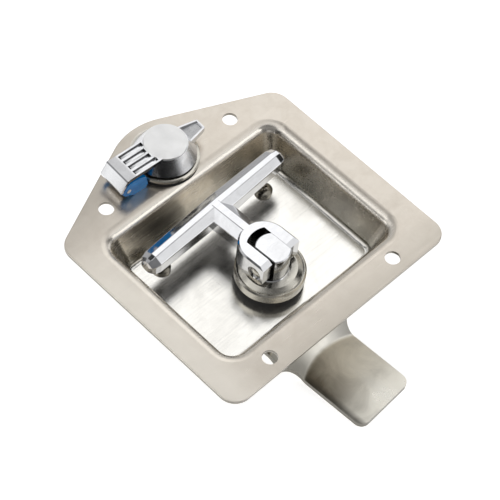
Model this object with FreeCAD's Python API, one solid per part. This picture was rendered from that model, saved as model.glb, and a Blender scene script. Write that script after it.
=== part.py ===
import math
import os

import FreeCAD
import Part

# Recessed folding T-handle lock with a separate key cylinder under a flip-up cap
# Frame: origin at the centre of the four mounting holes on the flange face, Z out of the front

# Clearances
FIT_GAP = 0.05
HOLE_GAP = 0.2
RUN_GAP = 0.15
BRACKET_GAP = 0.33

# Mounting holes and the flange round them
SHEET_T = 1.5
MOUNT_DX = 35.0
MOUNT_DY = 47.2
MOUNT_HOLE_R = 3.25
HOLE_TO_LOW_EDGE = 7.3
HOLE_TO_SIDE_TOP = 2.1
FLANGE_HALF_W = 61.4
FLANGE_LOW_Y = -MOUNT_DY - HOLE_TO_LOW_EDGE
FLANGE_SIDE_TOP_Y = MOUNT_DY - HOLE_TO_SIDE_TOP
FLANGE_LOW_R = 7.5
FLANGE_SIDE_R = 8.3
FLANGE_APEX_R = 30.0
FLANGE_EDGE_R = 0.4

# Recess, its rim set in from the flange's edges and its walls leaning in to the floor
FLANGE_SIDE_W = 14.26
FLANGE_LOW_W = 16.36
HOLE_TO_RIM = 11.49
WALL_RUN = 5.14
HIGH_WALL_RUN = 7.71
FLOOR_Z = -18.0
RIM_HALF_W = FLANGE_HALF_W - FLANGE_SIDE_W
RIM_LOW_Y = FLANGE_LOW_Y + FLANGE_LOW_W
RIM_HIGH_Y = MOUNT_DY - HOLE_TO_RIM
FLOOR_HALF_W = RIM_HALF_W - WALL_RUN
FLOOR_LOW_Y = RIM_LOW_Y + WALL_RUN
FLOOR_HIGH_Y = RIM_HIGH_Y - HIGH_WALL_RUN
RIM_CORNER_R = 6.4
FLOOR_CORNER_R = 4.6
RIM_ROLL_R = 5.2
FLOOR_ROLL_R = 2.4

# Spindle axis and its resting turn
FLOOR_TO_SPINDLE = 19.6
SPINDLE_Y = FLOOR_LOW_Y + FLOOR_TO_SPINDLE
SPINDLE_R = 7.95
REST_TURN = 3.2

# Sleeve through the dish floor, with its crowned collar on a rubber ring
SLEEVE_WALL = 3.0
COLLAR_LIP = 3.85
GASKET_STEP = 0.25
GASKET_T = 4.0
COLLAR_H = 4.4
CROWN_H = 1.0
CROWN_W = 3.2
SPINDLE_BORE_R = SPINDLE_R + FIT_GAP
SLEEVE_R = SPINDLE_BORE_R + SLEEVE_WALL
COLLAR_R = SLEEVE_R + COLLAR_LIP
GASKET_R = COLLAR_R - GASKET_STEP
COLLAR_SEAT_Z = FLOOR_Z + GASKET_T
COLLAR_RIM_Z = COLLAR_SEAT_Z + COLLAR_H
COLLAR_TOP_Z = COLLAR_RIM_Z + CROWN_H
COLLAR_CROWN_R = SPINDLE_BORE_R + CROWN_W
COLLAR_EDGE = 0.65
COLLAR_GROOVE_W = 0.45
COLLAR_GROOVE_D = 0.3
BORE_LEAD = 0.5

# Backing plate and its fixings
PLATE_T = 2.0
SCREW_SIDE_INSET = 12.6
SCREW_HIGH_INSET = 8.5
SCREW_X = FLOOR_HALF_W - SCREW_SIDE_INSET
SCREW_Y = FLOOR_HIGH_Y - SCREW_HIGH_INSET
SCREW_R = 2.0
SCREW_HEAD_RIM = 1.9
SCREW_HEAD_R = SCREW_R + SCREW_HEAD_RIM
SCREW_HEAD_H = 2.4
SCREW_DOME_H = 1.2
SCREW_TAIL = 1.4
CROSS_W = 0.9
CROSS_L = 4.0
CROSS_D = 1.2
WASHER_T = 0.8
WASHER_RIM = 2.5
WASHER_R = SCREW_R + WASHER_RIM
SMALL_NUT_WALL = 1.5
SMALL_NUT_AF = 2 * (SCREW_R + SMALL_NUT_WALL)
SMALL_NUT_H = 3.2
PLATE_SIDE_MARGIN = 6.6
PLATE_TOP_MARGIN = 5.5
PLATE_TAPER = 16.0
PLATE_LOW_DROP = 17.1
PLATE_TOP_HALF_W = SCREW_X + PLATE_SIDE_MARGIN
PLATE_TOP_Y = SCREW_Y + PLATE_TOP_MARGIN
PLATE_LOW_HALF_W = PLATE_TOP_HALF_W - PLATE_TAPER
PLATE_LOW_Y = SPINDLE_Y - PLATE_LOW_DROP
PLATE_TOP_R = 7.0
PLATE_LOW_R = 12.0
PLATE_BACK_Z = FLOOR_Z - SHEET_T - PLATE_T
NUT_SEAT_Z = PLATE_BACK_Z - WASHER_T
SLEEVE_NUT_WALL = 4.0
SLEEVE_NUT_AF = 2 * (SLEEVE_R + SLEEVE_NUT_WALL)
SLEEVE_NUT_H = 4.0
SLEEVE_END_Z = PLATE_BACK_Z - SLEEVE_NUT_H - SCREW_TAIL

# Head of the spindle and the fork that swings on it
PIVOT_RISE = 5.8
PIVOT_Z = COLLAR_TOP_Z + PIVOT_RISE
PIN_R = 2.8
PIN_DOME = 0.7
HEAD_STEP = 0.45
HEAD_R = SPINDLE_R - HEAD_STEP
HEAD_HALF_W = 5.0
HEAD_FOOT_Z = COLLAR_TOP_Z - RUN_GAP
HEAD_EDGE_R = 0.6
HEAD_PROUD = 0.6
SLOT_GAP = 0.25
SLOT_END_GAP = 2.1
SLOT_BULGE = 1.4
SLOT_HALF_W = HEAD_HALF_W + SLOT_GAP
SLOT_END_Y = HEAD_R + SLOT_END_GAP
CHEEK_T = 5.55
FORK_RISE = 6.3
FORK_BACK_INSET = 5.0
FORK_TOP_Z = PIVOT_Z + FORK_RISE
FORK_FOOT_Z = COLLAR_TOP_Z + RUN_GAP
FORK_HALF_W = SLOT_HALF_W + CHEEK_T
FORK_BACK_Y = SLOT_END_Y - FORK_BACK_INSET
FORK_BEVEL = 0.7
HEAD_TOP_Z = FORK_TOP_Z + HEAD_PROUD
PIN_INSET = 0.9
PIN_RECESS_D = 1.2
PIN_RECESS_RIM = 0.5
PIN_HALF_L = FORK_HALF_W - PIN_INSET
PIN_RECESS_R = PIN_R + PIN_RECESS_RIM
PIN_RECESS_X = FORK_HALF_W - PIN_RECESS_D
PRONG_TOP_Y = -2.2
PRONG_END_Y = -4.6
PRONG_DROP = 0.8
PRONG_BEVEL_Z = FORK_TOP_Z - PRONG_DROP
NOSE_R = PIVOT_Z - FORK_FOOT_Z

# Faceted stem and bar of the handle
BAR_Y = 31.8
BAR_RISE = 0.9
BAR_Z = PIVOT_Z + BAR_RISE
BAR_END_GAP = 7.1
BAR_HALF_L = RIM_HALF_W - BAR_END_GAP
BAR_HALF_W = 5.2
BAR_HALF_H = 5.35
BAR_FLAT = 1.35
BAR_SIDE = 3.0
BAR_EDGE_R = 0.8
BAR_END_STEPS = ((4.2, 0.87), (1.7, 0.76), (0.5, 0.56), (0.0, 0.36))
STEM_TOP_FLAT = 1.75
STEM_SHOULDER_RISE = 3.55
STEM_WAIST_DROP = 2.1
STEM_FOOT_DROP = 4.6
STEM_SHOULDER_Z = PIVOT_Z + STEM_SHOULDER_RISE
STEM_WAIST_Z = PIVOT_Z - STEM_WAIST_DROP
STEM_FOOT_Z = PIVOT_Z - STEM_FOOT_DROP
STEM_HALF_W_FORK = 5.6
STEM_HALF_W_BAR = 6.1
STEM_ROOT = 7.2
STEM_FORK_Y = FORK_BACK_Y + STEM_ROOT
STEM_EDGE_R = 0.5

# Spindle below the collar
SEAL_DEPTH = 6.4
SEAL_Z = COLLAR_TOP_Z - SEAL_DEPTH
SEAL_WIRE_R = 0.75
SEAL_SIDE_GAP = 0.2
SEAL_GROOVE_DEPTH = 2 * SEAL_WIRE_R + FIT_GAP
SEAL_GROOVE_H = 2 * (SEAL_WIRE_R + SEAL_SIDE_GAP)
THRUST_RIM = 4.55
THRUST_R = SPINDLE_R + THRUST_RIM
THRUST_T = 1.0
THRUST_GAP = 0.1
HUB_Z = SLEEVE_END_Z - THRUST_T - THRUST_GAP
SQUARE_HALF = 5.0
STUD_R = SQUARE_HALF - FIT_GAP
STUD_TAIL = 1.5
BLADE_T = 2.4
CAM_WASHER_RIM = 5.05
CAM_WASHER_R = STUD_R + CAM_WASHER_RIM
CAM_WASHER_T = 1.6
CAM_NUT_WALL = 3.05
CAM_NUT_AF = 2 * (STUD_R + CAM_NUT_WALL)
CAM_NUT_H = 5.5
STUD_END_Z = HUB_Z - BLADE_T - CAM_WASHER_T - CAM_NUT_H - STUD_TAIL

# Joggled blade, lengths from the spindle axis
JOGGLE_DROP = 10.7
TONGUE_Z = HUB_Z - JOGGLE_DROP
TONGUE_HALF_W = 15.3
TONGUE_REACH = 12.65
TONGUE_TIP_Y = FLANGE_LOW_Y - TONGUE_REACH
TONGUE_TIP_R = 4.0
HUB_STEP = 6.7
HUB_HALF_W = TONGUE_HALF_W + HUB_STEP
HUB_BACK_Y = 16.0
HUB_CORNER_R = 9.0
SHOULDER_Y = -29.0
SHOULDER_RISE = 1.0
SHOULDER_R = 7.0
BEND_INSET = 5.45
BEND_CENTRE_Y = TONGUE_TIP_Y + BEND_INSET
BEND_R = 30.1
JOGGLE_ANGLE = 34.0

# Key cylinder, standing on a rubber ring
RIM_TO_LOCK = 14.49
LOCK_TO_APEX = 22.85
LOCK_Y = RIM_HIGH_Y + RIM_TO_LOCK
FLANGE_APEX_Y = LOCK_Y + LOCK_TO_APEX
BARREL_R = 8.0
BARREL_WALL = 2.7
BARREL_END_Z = -16.0
NECK_STEP = 0.7
CAP_AIR = 0.9
CONE_FLARE = 3.8
BASE_LIP = 1.4
LOCK_GASKET_STEP = 0.25
NECK_R = BARREL_R + NECK_STEP
CAP_BORE_R = NECK_R + CAP_AIR
CAP_FOOT_R = CAP_BORE_R + CONE_FLARE
BASE_R = CAP_FOOT_R + BASE_LIP
LOCK_GASKET_R = BASE_R - LOCK_GASKET_STEP
LOCK_GASKET_T = 2.0
BASE_T = 1.6
BASE_TOP_Z = LOCK_GASKET_T + BASE_T
BASE_EDGE = 0.4
NECK_H = 3.8
NECK_TOP_Z = BASE_TOP_Z + NECK_H
PLUG_BORE_R = BARREL_R - BARREL_WALL
PLUG_R = PLUG_BORE_R - FIT_GAP
PLUG_HEAD_RIM = 1.25
PLUG_HEAD_H = 2.0
PLUG_SUNK = 0.1
PLUG_TAIL = 0.6
PLUG_HEAD_R = PLUG_R + PLUG_HEAD_RIM
PLUG_HEAD_Z = NECK_TOP_Z - PLUG_HEAD_H
PLUG_TOP_Z = NECK_TOP_Z - PLUG_SUNK
PLUG_END_Z = BARREL_END_Z - PLUG_TAIL
KEYWAY_W = 1.5
KEYWAY_L = 7.0
KEYWAY_D = 14.0
LOCK_NUT_WALL = 2.5
LOCK_NUT_AF = 2 * (BARREL_R + LOCK_NUT_WALL)
LOCK_NUT_H = 4.0
TAIL_STEP = 2.25
TAIL_HALF = PLUG_R - TAIL_STEP
LOCK_CAM_T = 2.0
LOCK_CAM_BACK_Z = PLUG_END_Z - LOCK_CAM_T
LOCK_CAM_RIM = 4.0
LOCK_CAM_R = TAIL_HALF + LOCK_CAM_RIM
LOCK_CAM_TIP_R = 3.5
LOCK_CAM_REACH = 13.5
LOCK_SCREW_R = 1.6
LOCK_SCREW_HEAD_RIM = 1.4
LOCK_SCREW_HEAD_R = LOCK_SCREW_R + LOCK_SCREW_HEAD_RIM
LOCK_SCREW_HEAD_H = 2.0
LOCK_SCREW_DEPTH = 6.0
LOCK_WASHER_RIM = 3.4
LOCK_WASHER_R = LOCK_SCREW_R + LOCK_WASHER_RIM

# Cone of the flip-up cap and the disc sunk in it
CAP_TURN = -3.0
CAP_FOOT_GAP = 0.8
CAP_MOUTH_W = 2.0
CAP_MOUTH_H = 1.5
CAP_SEAL_INSET = 1.2
CAP_SEAL_T = 1.05
CAP_ROOF_T = 1.8
CONE_STEP = 0.1
DISC_RIM = 0.25
DISC_SEAT_D = 0.6
DISC_T = 1.2
CAP_FOOT_Z = BASE_TOP_Z + CAP_FOOT_GAP
CAP_MOUTH_R = CAP_BORE_R + CAP_MOUTH_W
CAP_MOUTH_Z = CAP_FOOT_Z + CAP_MOUTH_H
CAP_SEAL_R = CAP_BORE_R - CAP_SEAL_INSET
CAP_SEAL_Z = NECK_TOP_Z + RUN_GAP
CAP_CEILING_Z = CAP_SEAL_Z + CAP_SEAL_T
CAP_SEAT_Z = CAP_CEILING_Z + CAP_ROOF_T
CAP_TOP_R = CAP_BORE_R - CONE_STEP
CAP_TOP_Z = CAP_SEAT_Z + DISC_SEAT_D
DISC_R = CAP_TOP_R - DISC_RIM
DISC_TOP_Z = CAP_SEAT_Z + DISC_T
DISC_EDGE = 0.2

# Arm and nose of the cap over the hinge, drawn along -X before the small resting turn
HINGE_REACH = 9.6
HINGE_X = -BASE_R - HINGE_REACH
HINGE_Z = 4.8
HINGE_PIN_R = 1.0
ARM_T = 1.7
ARM_RISE = 1.0
ARM_OVERHANG = 0.9
NOSE_OVERHANG = 4.2
NOSE_LIP = 1.0
NOSE_SIDE = 0.2
ARM_HALF_W = 6.5
ARM_TOP_Z = CAP_TOP_Z + ARM_RISE
ARM_LOW_Z = ARM_TOP_Z - ARM_T
ARM_END_X = HINGE_X - ARM_OVERHANG
CAP_NOSE_X = HINGE_X - NOSE_OVERHANG
CAP_NOSE_Z = 7.0
CAP_NOSE_FOOT_Z = CAP_NOSE_Z - NOSE_LIP
CAP_NOSE_T = 1.2
CAP_NOSE_HALF_W = ARM_HALF_W + NOSE_SIDE
LUG_R = 3.2
LUG_HALF_W = 4.5

# Ribs of the arm, the slots between them end in deeper pits
RIB_PITCH = 3.1
RIB_STEPS = (-1.5, -0.5, 0.5, 1.5)
RIB_SLOT_W = 1.95
RIB_SLOT_D = 0.9
RIB_END_INSET = 3.9
RIB_SLOT_END_X = HINGE_X + RIB_END_INSET
RIB_PIT_D = 1.3
RIB_PIT_INNER_L = 1.7
RIB_PIT_OUTER_L = 0.9

# Hinge bracket, its crown given from the hinge pin in X and from the flange in Z
LUG_GAP = 0.3
BRACKET_CHEEK_T = 1.8
CHEEK_IN = LUG_HALF_W + LUG_GAP
CHEEK_OUT = CHEEK_IN + BRACKET_CHEEK_T
HINGE_PIN_HALF_L = CHEEK_OUT + RUN_GAP
BRACKET_ARC_R = 2.8
BRACKET_ARC_START = 160.0
BRACKET_ARC_MID = 215.0
BRACKET_TIP_X = -math.sqrt(BASE_R ** 2 - CHEEK_IN ** 2) - BRACKET_GAP
BRACKET_TIP_Z = 1.9
BRACKET_HEEL = 1.0
BRACKET_FOOT_REACH = 3.0
BRACKET_HEEL_X = BRACKET_TIP_X - BRACKET_HEEL
BRACKET_FOOT_X = HINGE_X + BRACKET_FOOT_REACH
BRACKET_FLOOR_T = 1.2
BRACKET_CROWN = ((-1.6, 7.6), (0.6, 9.2), (3.4, 9.3), (6.8, 8.4), (8.9, 7.2))
PEG_REACH = 6.0
PEG_X = HINGE_X + PEG_REACH
PEG_Y = 4.0
PEG_R = 1.5
PEG_BARB = 0.6
PEG_END_Z = -2 * SHEET_T
PEG_HEAD_R = PEG_R + PEG_BARB

# Thumb tab, an open trough opposite the arm
TAB_ROOT_INSET = 0.5
TAB_LENGTH = 6.0
TAB_H = 3.9
TAB_LOW_ROOT = 0.1
TAB_LOW_TIP = 1.4
TAB_FLOOR_ROOT = 1.2
TAB_FLOOR_TIP = 2.8
TAB_ROOT_X = CAP_TOP_R - TAB_ROOT_INSET
TAB_ROOT_HALF_W = 5.0
TAB_TIP_X = CAP_FOOT_R + TAB_LENGTH
TAB_TIP_HALF_W = 2.6
TAB_TIP_R = 0.6
TAB_WALL = 0.75
TAB_TOP_Z = CAP_FOOT_Z + TAB_H
TAB_LOW_ROOT_Z = CAP_FOOT_Z + TAB_LOW_ROOT
TAB_LOW_TIP_Z = CAP_FOOT_Z + TAB_LOW_TIP
TAB_FLOOR_ROOT_Z = CAP_FOOT_Z + TAB_FLOOR_ROOT
TAB_FLOOR_TIP_Z = CAP_FOOT_Z + TAB_FLOOR_TIP

# Small overlap that joins the pieces of one solid
JOIN = 0.4


def vec(x, y, z=0.0):
    return FreeCAD.Vector(x, y, z)


def corner_arc(before, corner, after, radius):
    # Start, middle and end of the arc that rounds one corner
    to_before = (before - corner).normalize()
    to_after = (after - corner).normalize()
    half = to_before.getAngle(to_after) / 2.0
    reach = radius / math.tan(half)
    inward = (to_before + to_after).normalize()
    centre = corner + inward * (radius / math.sin(half))
    middle = centre - inward * radius
    return corner + to_before * reach, middle, corner + to_after * reach


def rounded_loop(points, radii):
    # Closed flat outline through points whose corners are rounded
    count = len(points)
    spans = []
    for index in range(count):
        here = points[index]
        if radii[index] > 0:
            ahead = points[(index + 1) % count]
            spans.append(corner_arc(points[index - 1], here, ahead, radii[index]))
        else:
            spans.append((here, None, here))
    edges = []
    for index in range(count):
        start, middle, end = spans[index]
        if middle is not None:
            edges.append(Part.Arc(start, middle, end).toShape())
        follow = spans[(index + 1) % count][0]
        edges.append(Part.LineSegment(end, follow).toShape())
    return Part.Wire(edges)


def rounded_wire(corners, z):
    # Closed outline through (x, y, radius) corners at one height
    return rounded_loop([vec(x, y, z) for x, y, radius in corners], [corner[2] for corner in corners])


def plate(corners, low_z, high_z):
    face = Part.Face(rounded_wire(corners, low_z))
    return face.extrude(vec(0, 0, high_z - low_z))


def box(x0, x1, y0, y1, z0, z1):
    return Part.makeBox(x1 - x0, y1 - y0, z1 - z0, vec(x0, y0, z0))


def rod(radius, low_z, high_z, x=0.0, y=0.0):
    return Part.makeCylinder(radius, high_z - low_z, vec(x, y, low_z))


def turned(profile):
    # Solid of revolution about Z from (radius, z) points
    points = [vec(radius, 0, z) for radius, z in profile]
    face = Part.Face(Part.makePolygon(points + points[:1]))
    return face.revolve(vec(0, 0, 0), vec(0, 0, 1), 360)


def hexagon(across_flats, low_z, high_z, x=0.0, y=0.0):
    # Hexagon with two flats facing along Y and bevelled corners at both faces
    corner = across_flats / math.sqrt(3.0)
    points = []
    for step in range(7):
        angle = math.radians(60 * step)
        points.append(vec(x + corner * math.cos(angle), y + corner * math.sin(angle), low_z))
    block = Part.Face(Part.makePolygon(points)).extrude(vec(0, 0, high_z - low_z))
    bevel = 0.6 * (corner - across_flats / 2.0)
    round_off = turned([
        (0, low_z), (corner - bevel, low_z), (corner, low_z + bevel),
        (corner, high_z - bevel), (corner - bevel, high_z), (0, high_z)])
    round_off.translate(vec(x, y, 0))
    return block.common(round_off)


def edges_where(shape, test):
    return [edge for edge in shape.Edges if test(edge.BoundBox)]


def level_edges(shape, z, reach=0.01):
    # Edges that lie flat at one height
    return edges_where(shape, lambda b: abs(b.ZMin - z) < reach and abs(b.ZMax - z) < reach)


def at_spindle(shape):
    shape.rotate(vec(0, 0, 0), vec(0, 0, 1), REST_TURN)
    shape.translate(vec(0, SPINDLE_Y, 0))
    return shape


def at_lock(shape):
    shape.translate(vec(0, LOCK_Y, 0))
    return shape


def at_cap(shape):
    shape.rotate(vec(0, 0, 0), vec(0, 0, 1), CAP_TURN)
    return at_lock(shape)


# Recess limits at one height: half width, lower Y, upper Y and corner radius
def recess_limits(z, offset):
    share = z / FLOOR_Z
    grow = offset * math.hypot(1.0, WALL_RUN / FLOOR_Z)
    high_grow = offset * math.hypot(1.0, HIGH_WALL_RUN / FLOOR_Z)
    radius = RIM_CORNER_R + (FLOOR_CORNER_R - RIM_CORNER_R) * share
    half_w = RIM_HALF_W - WALL_RUN * share + grow
    low_y = RIM_LOW_Y + WALL_RUN * share - grow
    high_y = RIM_HIGH_Y - HIGH_WALL_RUN * share + high_grow
    return half_w, low_y, high_y, radius + offset


def recess_wire(z, offset):
    half_w, low_y, high_y, radius = recess_limits(z, offset)
    return rounded_wire([
        (-half_w, low_y, radius), (half_w, low_y, radius),
        (half_w, high_y, radius), (-half_w, high_y, radius)], z)


def inner_edges(shape, z, reach):
    # Level edges round the recess, no further out from its rim than the reach
    return [edge for edge in level_edges(shape, z)
            if abs(edge.BoundBox.Center.x) < RIM_HALF_W + reach
            and RIM_LOW_Y - reach < edge.BoundBox.Center.y < RIM_HIGH_Y + reach]


def make_dish():
    flange = plate([
        (-FLANGE_HALF_W, FLANGE_LOW_Y, FLANGE_LOW_R), (FLANGE_HALF_W, FLANGE_LOW_Y, FLANGE_LOW_R),
        (FLANGE_HALF_W, FLANGE_SIDE_TOP_Y, FLANGE_SIDE_R), (0, FLANGE_APEX_Y, FLANGE_APEX_R),
        (-FLANGE_HALF_W, FLANGE_SIDE_TOP_Y, FLANGE_SIDE_R)], -SHEET_T, 0)
    flange = flange.makeFillet(FLANGE_EDGE_R, level_edges(flange, 0))
    back_z = FLOOR_Z - SHEET_T
    shell = Part.makeLoft([recess_wire(-SHEET_T / 2, SHEET_T), recess_wire(back_z, SHEET_T)], True, True)
    hollow = Part.makeLoft([recess_wire(SHEET_T, 0), recess_wire(FLOOR_Z, 0)], True, True)
    dish = flange.fuse(shell).cut(hollow).removeSplitter()
    rim = inner_edges(dish, 0, SHEET_T)
    dish = dish.makeFillet(RIM_ROLL_R, rim)
    dish = dish.makeFillet(FLOOR_ROLL_R, level_edges(dish, FLOOR_Z))
    dish = dish.makeFillet(FLOOR_ROLL_R + SHEET_T, level_edges(dish, back_z))
    rear = inner_edges(dish, -SHEET_T, 2 * SHEET_T)
    dish = dish.makeFillet(RIM_ROLL_R - SHEET_T, rear)
    cuts = [rod(MOUNT_HOLE_R, -SHEET_T - 1, 1, x, y)
            for x in (-MOUNT_DX, MOUNT_DX) for y in (-MOUNT_DY, MOUNT_DY)]
    cuts += [rod(SCREW_R + HOLE_GAP, back_z - 1, FLOOR_Z + 1, x, SCREW_Y) for x in (-SCREW_X, SCREW_X)]
    cuts.append(rod(SLEEVE_R + HOLE_GAP, back_z - 1, FLOOR_Z + 1, 0, SPINDLE_Y))
    cuts.append(rod(BARREL_R + HOLE_GAP, -SHEET_T - 1, 1, 0, LOCK_Y))
    cuts += [at_cap(rod(PEG_R + FIT_GAP, -SHEET_T - 1, 1, PEG_X, y)) for y in (-PEG_Y, PEG_Y)]
    return dish.cut(cuts)


def make_collar():
    lip_r = COLLAR_R - COLLAR_EDGE
    groove_r = lip_r - 2 * COLLAR_GROOVE_W
    collar = turned([
        (SPINDLE_BORE_R, SLEEVE_END_Z), (SLEEVE_R, SLEEVE_END_Z),
        (SLEEVE_R, COLLAR_SEAT_Z), (COLLAR_R, COLLAR_SEAT_Z),
        (COLLAR_R, COLLAR_RIM_Z - COLLAR_EDGE), (lip_r, COLLAR_RIM_Z),
        (lip_r - COLLAR_GROOVE_W / 2, COLLAR_RIM_Z), (groove_r, COLLAR_RIM_Z - COLLAR_GROOVE_D),
        (groove_r - COLLAR_GROOVE_W, COLLAR_RIM_Z), (COLLAR_CROWN_R, COLLAR_TOP_Z),
        (SPINDLE_BORE_R + BORE_LEAD, COLLAR_TOP_Z), (SPINDLE_BORE_R, COLLAR_TOP_Z - BORE_LEAD)])
    return at_spindle(collar)


def make_collar_gasket():
    edge = COLLAR_EDGE / 2
    ring = turned([
        (SLEEVE_R + FIT_GAP, FLOOR_Z), (GASKET_R, FLOOR_Z), (GASKET_R, COLLAR_SEAT_Z - edge),
        (GASKET_R - edge, COLLAR_SEAT_Z), (SLEEVE_R + FIT_GAP, COLLAR_SEAT_Z)])
    return at_spindle(ring)


def make_backing_plate():
    blank = plate([
        (-PLATE_LOW_HALF_W, PLATE_LOW_Y, PLATE_LOW_R), (PLATE_LOW_HALF_W, PLATE_LOW_Y, PLATE_LOW_R),
        (PLATE_TOP_HALF_W, PLATE_TOP_Y, PLATE_TOP_R), (-PLATE_TOP_HALF_W, PLATE_TOP_Y, PLATE_TOP_R)],
        PLATE_BACK_Z, FLOOR_Z - SHEET_T)
    low = PLATE_BACK_Z - 1
    cuts = [rod(SCREW_R + HOLE_GAP, low, FLOOR_Z, x, SCREW_Y) for x in (-SCREW_X, SCREW_X)]
    cuts.append(rod(SLEEVE_R + HOLE_GAP, low, FLOOR_Z, 0, SPINDLE_Y))
    return blank.cut(cuts)


def pan_screw(radius, head_r, head_h, dome_h, end_z, seat_z):
    # Pan head with a domed top and a cross recess, seated at one height
    top_z = seat_z + head_h
    dome_r = (head_r * head_r + dome_h * dome_h) / (2 * dome_h)
    head = rod(head_r, seat_z, top_z).common(Part.makeSphere(dome_r, vec(0, 0, top_z - dome_r)))
    screw = head.fuse(rod(radius, end_z, seat_z + JOIN))
    for along_x, along_y in ((CROSS_L, CROSS_W), (CROSS_W, CROSS_L)):
        recess = box(-along_x / 2, along_x / 2, -along_y / 2, along_y / 2, top_z - CROSS_D, top_z + 1)
        screw = screw.cut(recess)
    return screw


def make_backing_screws():
    end_z = NUT_SEAT_Z - SMALL_NUT_H - SCREW_TAIL
    screws = []
    for x in (-SCREW_X, SCREW_X):
        screw = pan_screw(SCREW_R, SCREW_HEAD_R, SCREW_HEAD_H, SCREW_DOME_H, end_z, FLOOR_Z)
        screw.translate(vec(x, SCREW_Y, 0))
        screws.append(screw)
    return Part.makeCompound(screws)


def make_backing_washers():
    rings = []
    for x in (-SCREW_X, SCREW_X):
        ring = rod(WASHER_R, NUT_SEAT_Z, PLATE_BACK_Z, x, SCREW_Y)
        rings.append(ring.cut(rod(SCREW_R + FIT_GAP, NUT_SEAT_Z - 1, PLATE_BACK_Z + 1, x, SCREW_Y)))
    return Part.makeCompound(rings)


def make_backing_nuts():
    nuts = []
    low = NUT_SEAT_Z - SMALL_NUT_H
    for x in (-SCREW_X, SCREW_X):
        nut = hexagon(SMALL_NUT_AF, low, NUT_SEAT_Z, x, SCREW_Y)
        nuts.append(nut.cut(rod(SCREW_R + FIT_GAP, low - 1, NUT_SEAT_Z + 1, x, SCREW_Y)))
    return Part.makeCompound(nuts)


def make_sleeve_nut():
    low = PLATE_BACK_Z - SLEEVE_NUT_H
    nut = hexagon(SLEEVE_NUT_AF, low, PLATE_BACK_Z)
    nut = nut.cut(rod(SLEEVE_R + FIT_GAP, low - 1, PLATE_BACK_Z + 1))
    nut.translate(vec(0, SPINDLE_Y, 0))
    return nut


def side_block(half_w, reach, low_z, high_z):
    # Block whose two long top edges are bevelled
    block = box(-half_w, half_w, -reach, reach, low_z, high_z)
    top = edges_where(block, lambda b: b.ZMin > high_z - 0.01 and b.YLength > reach)
    return block.makeChamfer(HEAD_EDGE_R / 2, top)


def make_spindle():
    head = rod(HEAD_R, HEAD_FOOT_Z - JOIN, HEAD_TOP_Z)
    head = head.makeFillet(HEAD_EDGE_R, level_edges(head, HEAD_TOP_Z))
    reach = HEAD_R + JOIN
    head = head.common(side_block(HEAD_HALF_W, reach, HEAD_FOOT_Z - JOIN, HEAD_TOP_Z))
    groove_r = SPINDLE_R - SEAL_GROOVE_DEPTH
    groove_top = SEAL_Z + SEAL_GROOVE_H / 2
    groove_low = SEAL_Z - SEAL_GROOVE_H / 2
    shaft = turned([
        (0, HUB_Z), (SPINDLE_R, HUB_Z), (SPINDLE_R, groove_low), (groove_r, groove_low),
        (groove_r, groove_top), (SPINDLE_R, groove_top), (SPINDLE_R, HEAD_FOOT_Z - JOIN),
        (SPINDLE_R - JOIN, HEAD_FOOT_Z), (0, HEAD_FOOT_Z)])
    square_end = HUB_Z - BLADE_T + FIT_GAP
    square = box(-SQUARE_HALF, SQUARE_HALF, -SQUARE_HALF, SQUARE_HALF, square_end, HUB_Z + JOIN)
    square = square.common(rod(SPINDLE_R - JOIN, square_end, HUB_Z + JOIN))
    stud = turned([
        (0, STUD_END_Z), (STUD_R - JOIN, STUD_END_Z), (STUD_R, STUD_END_Z + JOIN),
        (STUD_R, HUB_Z), (0, HUB_Z)])
    spindle = head.fuse([shaft, square, stud]).removeSplitter()
    return at_spindle(spindle.cut(pin_rod(PIN_R + FIT_GAP, HEAD_R)))


def make_spindle_seal():
    seal = Part.makeTorus(SPINDLE_R - SEAL_WIRE_R, SEAL_WIRE_R, vec(0, 0, SEAL_Z))
    return at_spindle(seal)


def make_thrust_washer():
    ring = rod(THRUST_R, HUB_Z, HUB_Z + THRUST_T)
    return at_spindle(ring.cut(rod(SPINDLE_R + FIT_GAP, HUB_Z - 1, HUB_Z + THRUST_T + 1)))


def blade_section(z_shift):
    # Heights of one blade face from the bend centre outward
    slope = math.tan(math.radians(JOGGLE_ANGLE))
    rise = HUB_Z - TONGUE_Z
    return [(0, TONGUE_Z + z_shift), (BEND_R, TONGUE_Z + z_shift),
            (BEND_R + rise / slope, HUB_Z + z_shift),
            (HUB_BACK_Y - BEND_CENTRE_Y + HUB_HALF_W, HUB_Z + z_shift)]


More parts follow.
